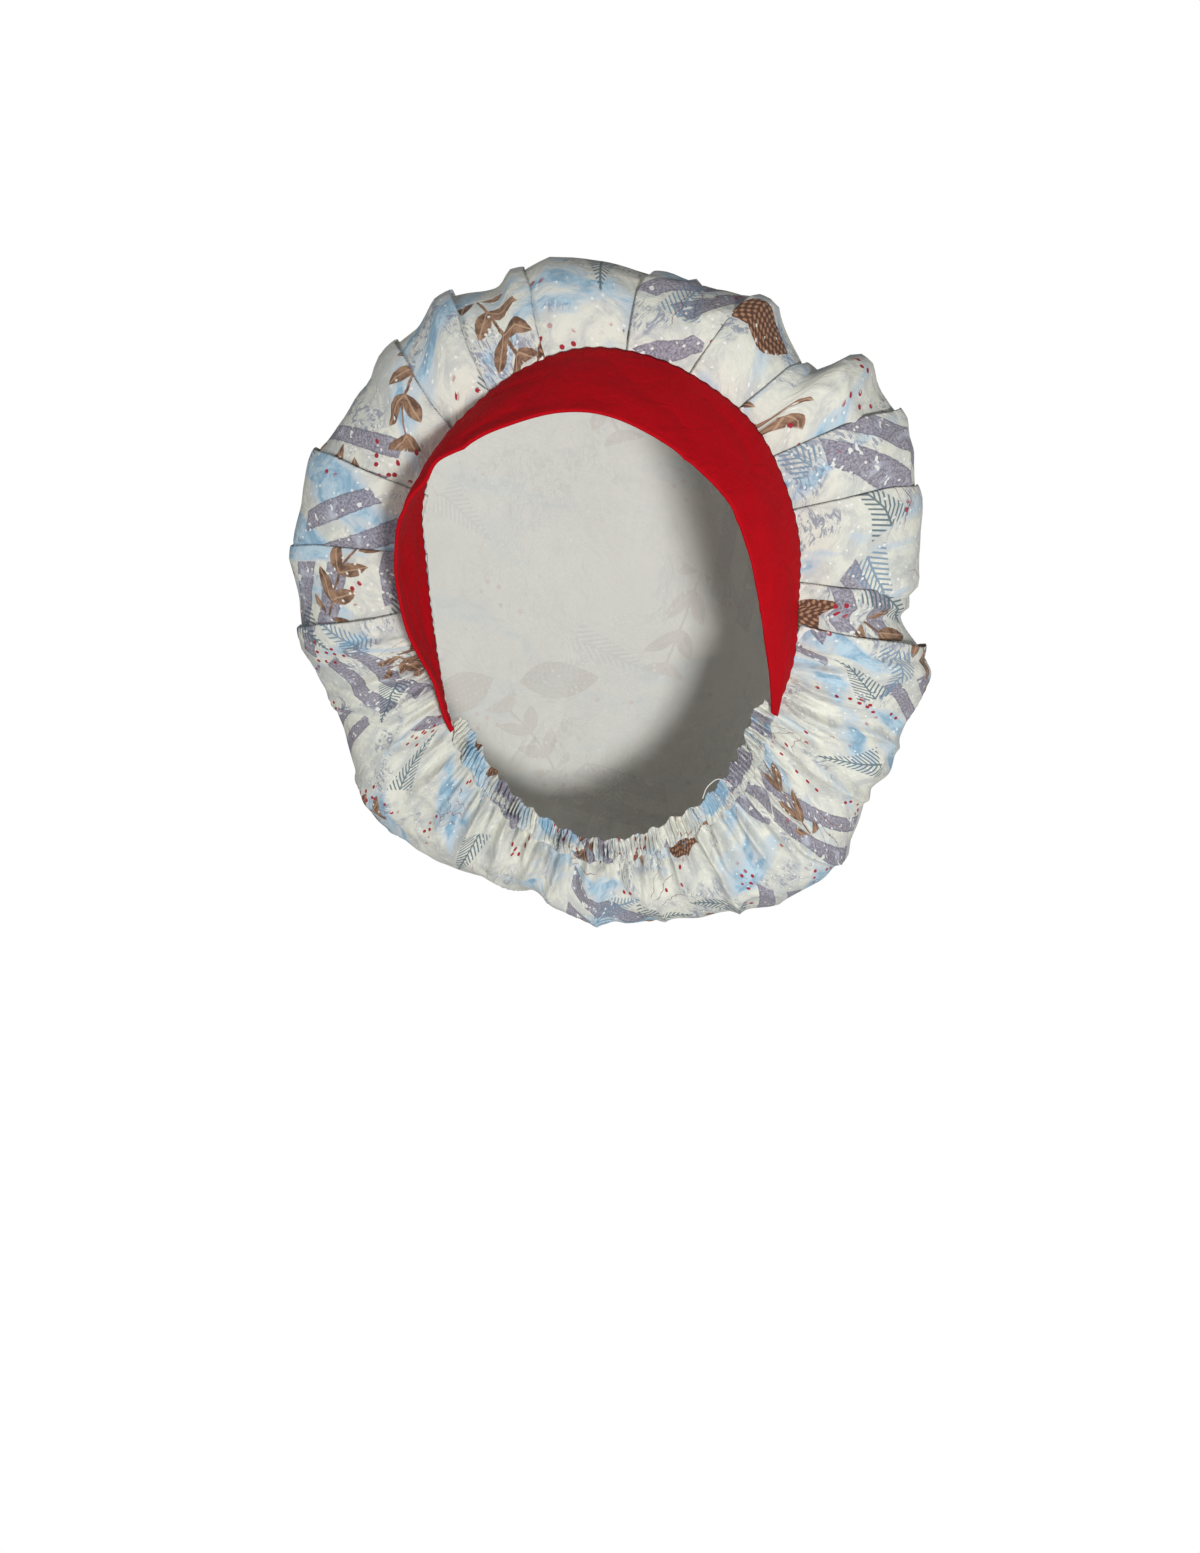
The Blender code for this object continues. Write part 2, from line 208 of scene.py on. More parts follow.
def polar(angle, radius, n):
    """The cap point (radius cos angle, radius sin angle, n), angles in degrees."""
    turn = np.radians(angle)
    angle, radius, n = np.broadcast_arrays(angle, radius, n)
    return np.stack([radius * np.cos(turn), radius * np.sin(turn), n], axis=-1)


def smooth(x, low, high):
    """0 below low, 1 above high and 3t^2 - 2t^3 between them."""
    t = np.clip((x - low) / (high - low), 0.0, 1.0)
    return t * t * (3.0 - 2.0 * t)


def through_rows(knots, values, at, period=None):
    """A curve through table rows, on each stretch the cubic whose end slopes are the
    slopes between the rows on either side. A period closes the curve."""
    if period:
        at = knots[0] + np.mod(at - knots[0], period)
        knots = np.concatenate([knots[-2:] - period, knots, knots[:2] + period])
        values = np.concatenate([values[-2:], values, values[:2]])
    slopes = np.gradient(values, knots)
    here = np.clip(np.searchsorted(knots, at, side="right") - 1, 0, len(knots) - 2)
    span = knots[here + 1] - knots[here]
    t = np.clip((at - knots[here]) / span, 0.0, 1.0)
    start = values[here] * (1 + 2 * t) * (1 - t) ** 2 + slopes[here] * span * t * (1 - t) ** 2
    end = values[here + 1] * t ** 2 * (3 - 2 * t) - slopes[here + 1] * span * t ** 2 * (1 - t)
    return start + end


def soft_noise(points, seed):
    """Smooth noise between -1 and 1 over points (..., 3): random values at the corners
    of a lattice of unit cells, blended inside each cell by 3t^2 - 2t^3 on every axis."""
    size = 32
    lattice = np.random.default_rng(seed).uniform(-1.0, 1.0, (size, size, size))
    cell = np.floor(points).astype(int)
    t = points - cell
    t = t * t * (3.0 - 2.0 * t)
    total = np.zeros(points.shape[:-1])
    for corner in np.ndindex(2, 2, 2):
        index = np.mod(cell + corner, size)
        weight = np.prod(np.where(np.array(corner) == 1, t, 1.0 - t), axis=-1)
        total += weight * lattice[index[..., 0], index[..., 1], index[..., 2]]
    return total


def seam_radius(angle):
    """Radius of the seam round the opening."""
    return through_rows(SEAM[:, 0], SEAM[:, 1], angle, FULL_TURN)


def rim_radius(angle, rounding):
    """Radius of the crown's widest line. Between two corners (a1, r1) and (a2, r2) a
    straight line has the radius r1 r2 sin(a2 - a1) / (r1 sin(a - a1) + r2 sin(a2 - a)).
    The corners are rounded by a mean over some degrees to either side."""
    first = RIM_CORNERS[0, 0]
    knots = np.append(RIM_CORNERS[:, 0], first + FULL_TURN)
    values = np.append(RIM_CORNERS[:, 1], RIM_CORNERS[0, 1])
    total = 0.0
    for offset in np.linspace(-rounding, rounding, ROUNDING_STEPS):
        at = first + np.mod(angle + offset - first, FULL_TURN)
        here = np.clip(np.searchsorted(knots, at, side="right") - 1, 0, len(knots) - 2)
        r1, r2 = values[here], values[here + 1]
        before, after = np.radians(at - knots[here]), np.radians(knots[here + 1] - at)
        total = total + r1 * r2 * np.sin(before + after) / (r1 * np.sin(before) + r2 * np.sin(after))
    return total / ROUNDING_STEPS


def grid_quads(rows, columns, wrap_columns=False, wrap_rows=False):
    """Corner indices of the quads of a grid numbered row by row."""
    row = np.arange(rows if wrap_rows else rows - 1)[:, None]
    column = np.arange(columns if wrap_columns else columns - 1)[None, :]
    below = (row + 1) % rows
    beside = (column + 1) % columns
    corners = [row * columns + column, below * columns + column,
               below * columns + beside, row * columns + beside]
    return np.stack(np.broadcast_arrays(*corners), axis=-1).reshape(-1, 4)


def tube_ends(rings, sides):
    """The two end faces of a tube whose rings are numbered one after another."""
    last = (rings - 1) * sides
    return [tuple(range(sides - 1, -1, -1)), tuple(range(last, last + sides))]


def mesh_piece(name, points, quads, cloth_uv, materials, extra_faces=()):
    """A smooth mesh from cap points and quads, with the cloth's flat place of each
    corner, in metres, in the UV map named cloth."""
    world = cap_to_world(points.reshape(-1, 3))
    faces = quads.tolist() + [list(face) for face in extra_faces]
    mesh = bpy.data.meshes.new(name)
    mesh.from_pydata(world.tolist(), [], faces)
    corner = np.zeros(len(mesh.loops), dtype=np.int32)
    mesh.loops.foreach_get("vertex_index", corner)
    layer = mesh.uv_layers.new(name="cloth")
    layer.data.foreach_set("uv", cloth_uv.reshape(-1, 2)[corner].astype(np.float32).ravel())
    mesh.shade_smooth()
    for material in materials:
        mesh.materials.append(material)
    piece = bpy.data.objects.new(name, mesh)
    bpy.context.scene.collection.objects.link(piece)
    return piece


def crown_layout():
    """The crown's columns. A pleat's columns run evenly between two folds. A fold's
    columns follow FOLD_SECTION. The nape is one stretch of even columns. Returns arrays,
    one value to a column:
    seam, rim      angle at the seam and at the rim
    under, open    offset in mm along the angle when the fold is closed, and when open
    closed, opened height of the fold when closed and open
    puff           share across the pleat, 0 at its ends
    pleat          number of the pleat, or -1 in a fold and -2 at the nape."""
    rows = []

    def add_fold(fold):
        section = FOLD_SECTION if fold[4] < 0 else FOLD_SECTION[::-1]
        count = len(section)
        for k, (inward, up) in enumerate(section):
            along = (k + 1.0) / (count + 1.0)
            rise = along if fold[4] < 0 else 1.0 - along
            rise = rise * rise * (3.0 - 2.0 * rise)
            low, high = fold[2] * up, fold[3] * rise
            shift = -fold[4] * inward
            spread = (along - 1.0) if fold[4] < 0 else along
            rows.append((fold[0], fold[1], shift, spread, low, high, 0.0, -1.0))

    def add_pleat(lower, upper, number):
        share = np.linspace(0.0, 1.0, PLEAT_COLUMNS)
        low_end = 1.0 if lower[4] < 0 else 0.0
        high_end = 1.0 if upper[4] > 0 else 0.0
        for part in share:
            fall, grow = (1.0 - part) ** 1.3 * low_end, part ** 1.3 * high_end
            closed = lower[2] * fall + upper[2] * grow
            opened = lower[3] * fall + upper[3] * grow
            spread = -(1.0 - high_end) * part + (1.0 - low_end) * (1.0 - part)
            rows.append((lower[0] + (upper[0] - lower[0]) * part,
                         lower[1] + (upper[1] - lower[1]) * part,
                         0.0, spread, closed, opened, math.sin(math.pi * part), number))

    for number, (lower, upper) in enumerate(zip(FOLDS, FOLDS[1:])):
        add_fold(lower)
        add_pleat(lower, upper, float(number))
    add_fold(FOLDS[-1])
    start, end = FOLDS[-1], FOLDS[0]
    for part in np.linspace(0.0, 1.0, NAPE_COLUMNS):
        rows.append((start[0] + (end[0] + FULL_TURN - start[0]) * part,
                     start[1] + (end[1] + FULL_TURN - start[1]) * part,
                     0.0, (1.0 - part) - part, 0.0, 0.0, part, -2.0))
    names = ("seam", "rim", "under", "open", "closed", "opened", "puff", "pleat")
    return dict(zip(names, np.array(rows).T))


def crown_profile():
    """The crown's rows: for each the share of the way from seam to rim in radius (or,
    behind the rim, the share of the rim's radius left), n, and the place along the
    front and back quarter turns. The radius goes with the sine of a quarter turn in
    front, and as a squared ellipse behind."""
    front = np.linspace(0.0, 1.0, FRONT_ROW_COUNT, endpoint=False) ** FRONT_ROW_SPREAD * QUARTER_CIRCLE
    back = np.linspace(0.0, 1.0, BACK_ROW_COUNT, endpoint=False) * QUARTER_CIRCLE
    power = 2.0 / BACK_SQUARENESS
    front_n = RIM_DEPTH * (1.0 - np.cos(front)) - FRONT_BULGE * np.sin(2.0 * front)
    back_n = RIM_DEPTH + BACK_DEPTH * np.sin(back) ** power
    n = np.concatenate([front_n, back_n])
    outward = np.concatenate([np.sin(front), np.ones(BACK_ROW_COUNT)])
    remaining = np.concatenate([np.ones(FRONT_ROW_COUNT), np.cos(back) ** power])
    behind = np.concatenate([np.zeros(FRONT_ROW_COUNT), back / QUARTER_CIRCLE])
    return outward[:, None], remaining[:, None], n[:, None], behind[:, None]


def ridged(turns):
    """Puffs with a narrow valley between each and the next, |sin(pi turns)| raised to a
    power under 1, less its mean. Turns is the number of puffs passed."""
    return np.abs(np.sin(math.pi * turns)) ** PUFF_SHARPNESS - PUFF_MEAN


def nape_waves(share, outward, behind):
    """Gathers at the nape: fine puffs beside the casing that merge into middling ones,
    and then long uneven folds towards the rim. The folds swell with soft noise drawn out
    from casing to rim, and crease where a second such noise passes through 0."""
    spot = np.stack(np.broadcast_arrays(share * 9.0, outward * 1.6 + behind * 2.0, 0.5), axis=-1)
    drift = 0.016 * soft_noise(spot, 41) + 0.006 * soft_noise(spot * 3.1 + 4.0, 42)
    uneven = share + 0.010 * np.sin(17.0 * share) + 0.006 * np.sin(41.0 * share + 1.0)
    ends = np.sin(math.pi * np.clip(share, 0.0, 1.0)) ** 0.35
    swell = 0.75 + 0.35 * soft_noise(spot * 2.0 + 11.0, 43)
    fine = ridged(FINE_GATHERS * (uneven + 0.5 * drift)) * swell
    middle = ridged(MIDDLE_GATHERS * (uneven + drift) + 0.3) * (1.6 - swell)
    drawn = np.stack(np.broadcast_arrays(LONG_FOLD_CELLS * (share + 1.6 * drift),
                                         outward * 0.9 + behind * 1.1, 3.5), axis=-1)
    crease = np.clip(1.0 - 5.0 * np.abs(soft_noise(drawn + 20.0, 45)), 0.0, 1.0) ** 1.4
    long_folds = LONG_FOLD_SWELL * soft_noise(drawn, 44) - LONG_FOLD_DEPTH * crease
    fade_fine = smooth(outward, 0.0, 0.05) * (1.0 - smooth(outward, 0.15, 0.50))
    fade_middle = smooth(outward, 0.02, 0.18) * (1.0 - smooth(outward, 0.35, 0.80))
    fade_long = smooth(outward, 0.05, 0.30) * (1.0 - 0.6 * smooth(outward, 0.8, 1.0))
    fade_long = fade_long * (1.0 - smooth(behind, 0.0, 0.45))
    return ends * (FINE_HEIGHT * fine * fade_fine + MIDDLE_HEIGHT * middle * fade_middle
                   + long_folds * fade_long)


def crown_points():
    """The crown as points[row, column] in cap millimetres, with the flat place of each.
    It is a smooth base of revolution-like rows, raised along its normal by the pleats,
    the nape's gathers and soft creases. Each point's flat place is its distance from
    the top of the back at an angle; a pleat keeps its own scale round its middle, so
    the print breaks off at each fold as cut cloth does."""
    cols = crown_layout()
    outward, remaining, n, behind = crown_profile()

    opening = smooth(outward + behind, 0.72, 1.42)
    closed_share = 1.0 - opening
    underlay = PLEAT_UNDERLAY * (1.0 - 0.3 * outward)
    shift_mm = closed_share * underlay * cols["under"] + opening * PLEAT_OPENING * cols["open"]
    shift_mm = shift_mm * (1.0 - 0.75 * smooth(behind, 0.35, 0.85))

    line = cols["seam"] + (cols["rim"] - cols["seam"]) * outward
    cornered = rim_radius(cols["rim"], CORNER_ROUNDING)
    rounded = rim_radius(cols["rim"], BACK_ROUNDING)
    rim = cornered + (rounded - cornered) * smooth(behind, 0.0, 0.6)
    seam = seam_radius(cols["seam"])
    radius = (seam + (rim - seam) * outward) * remaining
    angle = line + np.degrees(shift_mm / np.maximum(radius, 25.0)) * (remaining > 0.0)

    base = polar(angle, radius, n)
    smooth_base = polar(line, radius, n)
    back_share = np.clip((n - RIM_DEPTH) / BACK_DEPTH, 0.0, 1.0)
    base[..., 1] += BACK_SHIFT * back_share
    down = np.gradient(smooth_base, axis=0)
    turn = np.radians(line)
    across = np.stack([-np.sin(turn), np.cos(turn), 0.0 * turn], axis=-1)
    normal = np.cross(down, across)
    normal /= np.maximum(np.linalg.norm(normal, axis=-1, keepdims=True), 1e-9)

    sewn = 0.45 + 0.55 * smooth(outward, 0.0, 0.1)
    fading = 1.0 - smooth(behind, 0.0, 0.6)
    lift = (closed_share * cols["closed"] + opening * cols["opened"]) * sewn * fading
    in_pleat = cols["pleat"] >= 0.0
    lift = lift + in_pleat * cols["puff"] * 0.8 * smooth(outward, 0.3, 1.0) * fading
    nape = cols["pleat"] == -2.0
    lift = lift + np.where(nape, nape_waves(cols["puff"], outward, behind), 0.0)
    lift = lift + crown_creases(smooth_base, line, outward, behind, nape)

    points = base + normal * lift[..., None]
    tuck = polar(cols["seam"], seam - SEAM_TUCK, 0.1 + 0.0 * seam)[None]
    points = np.concatenate([tuck, points])
    return points, crown_flat_place(cols, points, line, angle, radius, behind)


def crown_creases(base, line, outward, behind, nape):
    """Soft dents and creases: broad noise over the whole crown, noise drawn out
    along the pleats near the seam, and a ridged noise, 1 - |noise|, for sharp
    creases where the cloth buckles."""
    turn = np.radians(line)
    ring = np.stack([np.cos(turn), np.sin(turn), 0.0 * turn], axis=-1)
    drawn = ring * 9.0
    drawn[..., 2] = outward * 1.3 + behind * 2.0 + 7.0
    broad = soft_noise(base / 58.0 + 3.0, 11)
    middle = soft_noise(base / 27.0 + 9.0, 12)
    along = soft_noise(drawn, 13)
    along_fine = soft_noise(drawn * np.array([2.3, 2.3, 1.4]) + 5.0, 14)
    ridge = 1.0 - np.abs(soft_noise(base / 34.0 + middle[..., None] * 0.35, 15)) * 2.0
    ridge = np.clip(ridge, 0.0, 1.0) ** 3
    free = smooth(outward, 0.08, 0.6)
    near = smooth(outward, 0.0, 0.15) * (1.0 - smooth(behind, 0.1, 0.6))
    total = 2.2 * broad * free + 1.5 * middle * free
    total = total + (1.1 * along + 0.5 * along_fine) * near * np.where(nape, 0.6, 1.0)
    return total - 2.6 * ridge * free * smooth(soft_noise(base / 70.0 + 4.0, 16), -0.4, 0.5)


def crown_flat_place(cols, points, line, angle, radius, behind):
    """Flat place of the crown's points, in metres. The distance from the middle of the
    cut circle is the way left to the top of the back. The angle of a pleat's point is
    the pleat's middle plus the way along the row from that middle over the distance. At
    the nape it is the angle at the rim. A fold's columns go on from the pleat on either
    side as far as its hidden root, where the tucked cloth is left out. Over the back,
    where the pleats have opened out, it turns into the point's own angle."""
    steps = np.linalg.norm(np.diff(points, axis=0), axis=-1)
    steps = np.minimum(steps, 3.0 * np.median(steps, axis=1, keepdims=True))
    left = np.concatenate([np.cumsum(steps[::-1], axis=0)[::-1], np.zeros_like(steps[:1])])
    left = left + CENTRE_OFFSET
    line, angle, radius, behind = (np.concatenate([rows[:1], rows])
                                   for rows in (line, angle, radius, behind))
    flat_angle = np.broadcast_to(np.radians(cols["rim"]), line.shape).copy()
    number = cols["pleat"]
    for pleat in range(len(FOLDS) - 1):
        mine = number == pleat
        middle = 0.5 * (FOLDS[pleat][1] + FOLDS[pleat + 1][1])
        middle_line = line[:, mine].mean(axis=1, keepdims=True)
        way = np.radians(line[:, mine] - middle_line) * radius[:, mine]
        flat_angle[:, mine] = np.radians(middle) + way / left[:, mine]

    step = np.linalg.norm(points - np.roll(points, 1, axis=1), axis=-1) / left
    starts = np.flatnonzero((number == -1.0) & (np.roll(number, 1) != -1.0))
    for start, fold in zip(starts, FOLDS):
        after = start + len(FOLD_SECTION)
        root = start + FOLD_ROOT if fold[4] < 0 else after - FOLD_ROOT
        before = flat_angle[:, start - 1:start] if start else flat_angle[:, -1:] - FULL_CIRCLE
        flat_angle[:, start:root] = before + np.cumsum(step[:, start:root], axis=1)
        back = np.cumsum(step[:, after:root:-1], axis=1)[:, ::-1]
        flat_angle[:, root:after] = flat_angle[:, after:after + 1] - back
    flat_angle += (np.radians(angle) - flat_angle) * smooth(behind, 0.05, 0.5)
    return MM * np.stack([left * np.cos(flat_angle), left * np.sin(flat_angle)], axis=-1)


def make_crown(outside, inside):
    """The crown's cloth, closed at the top of the back by a fan, given its thickness by
    Solidify, whose inner face is the cloth's wrong side."""
    points, flat = crown_points()
    rows, columns = points.shape[:2]
    quads = grid_quads(rows, columns, wrap_columns=True)
    top = points[-1].mean(axis=0)
    top[2] = RIM_DEPTH + BACK_DEPTH
    all_points = np.concatenate([points.reshape(-1, 3), top[None]])
    all_flat = np.concatenate([flat.reshape(-1, 2), np.zeros((1, 2))])
    last = (rows - 1) * columns
    fan = [(last + k, rows * columns, last + (k + 1) % columns) for k in range(columns)]
    piece = mesh_piece("bouffant_crown", all_points, quads, all_flat, [outside, inside], fan)
    wall = piece.modifiers.new("cloth", "SOLIDIFY")
    wall.thickness = CROWN_CLOTH * MM
    wall.offset = -1.0
    wall.material_offset = 1
    wall.material_offset_rim = 0
    return piece


def make_headband(material):
    """The headband: a wall of doubled cloth. Its section runs from the seam up the
    outside with a slight bow, round the folded free edge and down the inside. Rumples
    are noise drawn out along its length, creases lie where another noise passes through
    0, and puckers are short waves at the seam. The free edge sways, and bends once by
    x exp(-x^2) at its kink."""
    table = BAND_EDGE
    angle = np.linspace(table[0, 0] + 0.3, table[-1, 0] - 0.3, BAND_LENGTH_STEPS)[:, None]
    edge_radius = through_rows(table[:, 0], table[:, 1], angle)
    edge_out = through_rows(table[:, 0], table[:, 2], angle)
    seam = seam_radius(angle)
    run = edge_radius - seam
    length = np.hypot(run, edge_out)
    inward = np.stack([-edge_out / length, -run / length], axis=-1)

    share = np.linspace(0.0, 1.0, BAND_WIDTH_STEPS)[None, :]
    half = BAND_THICKNESS / 2.0
    turn = np.linspace(0.0, math.pi, BAND_FOLD_STEPS)[None, 1:-1]
    shares = np.concatenate([share, 1.0 + half * np.sin(turn) / BAND_SCALE_WIDTH, share[:, ::-1]], axis=1)
    depths = np.concatenate([0.0 * share, half * (1.0 - np.cos(turn)),
                             2.0 * half + 0.0 * share], axis=1)
    spot = polar(angle, 95.0, 0.0)
    spot = np.broadcast_to(spot, (BAND_LENGTH_STEPS, shares.shape[1], 3)).copy()
    spot[..., 2] = shares * BAND_SCALE_WIDTH
    rumple = soft_noise(spot / np.array([30.0, 30.0, 16.0]) + 2.0, 21)
    rumple = 1.0 * rumple + 0.45 * soft_noise(spot / np.array([13.0, 13.0, 9.0]) + 6.0, 22)
    crease = 1.0 - 2.2 * np.abs(soft_noise(spot / np.array([38.0, 38.0, 20.0]) + 13.0, 23))
    crease = np.clip(crease, 0.0, 1.0) ** 4
    pucker = np.sin(angle * 1.9 + 2.0 * np.sin(angle * 0.13)) * np.exp(-shares * 9.0)
    free = smooth(shares, 0.0, 0.25)
    sway = 1.1 * np.sin(np.radians(angle * 3.1 + 40.0)) * shares ** 2
    kink = (angle - EDGE_KINK_ANGLE) / EDGE_KINK_REACH
    sway = sway + EDGE_KINK * kink * np.exp(-kink ** 2) * shares ** 3
    bow = BAND_BULGE * np.sin(math.pi * np.minimum(shares, 1.0))
    depth = depths - bow - (0.8 * rumple - 0.9 * crease) * free - 0.25 * pucker + sway
    radius = seam + run * shares + inward[..., 0] * depth
    n = -0.15 - edge_out * shares + inward[..., 1] * depth
    points = polar(angle, radius, np.minimum(n, -0.1))

    way = np.cumsum(np.concatenate([[0.0], np.linalg.norm(np.diff(points[:, 0], axis=0), axis=-1)]))
    section = points[BAND_MEASURED_ROW]
    round_way = np.concatenate([[0.0], np.cumsum(np.linalg.norm(np.diff(section, axis=0), axis=-1))])
    flat = MM * np.stack(np.broadcast_arrays(way[:, None], round_way[None, :]), axis=-1)
    sides = points.shape[1]
    quads = grid_quads(BAND_LENGTH_STEPS, sides, wrap_columns=True)[:, ::-1]
    last = (BAND_LENGTH_STEPS - 1) * sides
    ends = [tuple(range(sides)), tuple(range(last + sides - 1, last - 1, -1))]
    return mesh_piece("red_headband", points, quads, flat, [material], ends)


def make_casing(material):
    """The nape casing: a flat tube round the nape, drawn up on its elastic. Its section
    is a squared ellipse. Its ruffles raise its face by sin(pi turns)^2, where noise
    shifts the turns and sets the height, and its edges go in and out with every second
    ruffle. Two runs of stitching pinch it."""
    start = BAND_EDGE[-1, 0] - FULL_TURN - CASING_OVERLAP
    end = BAND_EDGE[0, 0] + CASING_OVERLAP
    share = np.linspace(0.0, 1.0, CASING_LENGTH_STEPS)[:, None]
    angle = start + (end - start) * share
    uneven = share + 0.006 * np.sin(23.0 * share) + 0.0035 * np.sin(67.0 * share + 0.5)
    side = (np.arange(CASING_SIDES)[None, :] + 0.5) / CASING_SIDES * 2.0 * math.pi
    across = np.sign(np.cos(side)) * np.abs(np.cos(side)) ** 0.85
    through = np.sign(np.sin(side)) * np.abs(np.sin(side)) ** 0.75

    place = np.stack(np.broadcast_arrays(share * 34.0, across * 0.9, 0.5 + 0.0 * through), axis=-1)
    drift = 0.55 * soft_noise(place, 32) + 0.3 * soft_noise(place * 2.6 + 3.0, 33)
    turns = RUFFLE_COUNT * uneven + drift
    swell = np.clip(0.75 + 0.5 * soft_noise(place * 0.8 + 8.0, 34), 0.25, 1.25)
    ridge = np.sin(math.pi * turns) ** 2
    spot = np.stack(np.broadcast_arrays(share * 210.0, across * 3.0, through * 2.0), axis=-1)
    crumple = soft_noise(spot / 2.6, 31)
    pinch = np.exp(-((across - 0.74) / 0.1) ** 2) + np.exp(-((across + 0.74) / 0.1) ** 2)

    half_width = CASING_WIDTH / 2.0
    half_thick = CASING_THICKNESS / 2.0
    middle = seam_radius(angle) - half_width + 0.2
    taper = 0.35 + 0.65 * smooth(share, 0.0, 0.04) * (1.0 - smooth(share, 0.96, 1.0))
    edge = 1.0 + 0.22 * swell * np.sin(math.pi * turns * 0.5 + np.sign(across))
    radius = middle + across * half_width * edge * taper + 0.5 * crumple
    front = np.clip(through, 0.0, 1.0)
    rise = half_thick * (2.3 * ridge * swell - 0.6) - 0.5 * pinch
    n = -0.2 - half_thick * 0.8 - through * half_thick * 0.8 * (through < 0.0)
    n = n - front * np.maximum(rise, -0.6) * taper + 0.25 * crumple * front
    points = polar(angle, radius, np.minimum(n, -0.1))

    section = points[CASING_MEASURED_ROW]
    around = np.cumsum(np.concatenate([[0.0], np.linalg.norm(np.diff(section, axis=0), axis=-1)]))
    along = share * CASING_FLAT_LENGTH + CASING_FLAT_START
    flat = MM * np.stack(np.broadcast_arrays(along, around[None, :]), axis=-1)
    quads = grid_quads(CASING_LENGTH_STEPS, CASING_SIDES, wrap_columns=True)
    ends = tube_ends(CASING_LENGTH_STEPS, CASING_SIDES)
    return mesh_piece("shirred_nape_casing", points, quads, flat, [material], ends)


def make_loose_thread(material):
    """A thin tube along a smooth curve through the rows of LOOSE_THREAD: rings square
    to the curve's direction."""
    knots = np.arange(len(LOOSE_THREAD), dtype=float)
    at = np.linspace(0.0, knots[-1], THREAD_STEPS)
    angle, radius, n = (through_rows(knots, column, at) for column in LOOSE_THREAD.T)
    path = polar(angle, radius, n)
    along = np.gradient(path, axis=0)
    along /= np.linalg.norm(along, axis=-1, keepdims=True)
    beside = np.cross(along, (0.0, 0.0, 1.0))
    beside /= np.linalg.norm(beside, axis=-1, keepdims=True)
    above = np.cross(beside, along)
    turn = np.arange(THREAD_SIDES) / THREAD_SIDES * 2.0 * math.pi
    ring = np.cos(turn)[:, None] * beside[:, None] + np.sin(turn)[:, None] * above[:, None]
    points = path[:, None] + THREAD_RADIUS * ring
    flat = MM * np.stack(np.broadcast_arrays(at[:, None], turn[None, :]), axis=-1)
    quads = grid_quads(THREAD_STEPS, THREAD_SIDES, wrap_columns=True)
    ends = tube_ends(THREAD_STEPS, THREAD_SIDES)
    return mesh_piece("loose_thread", points, quads, flat, [material], ends)


def tone(red, green, blue):
    """A linear colour from the usual 0 to 255 screen values."""
    screen = np.array([red, green, blue]) / 255.0
    linear = np.where(screen <= 0.04045, screen / 12.92, ((screen + 0.055) / 1.055) ** 2.4)
    return (*linear.tolist(), 1.0)


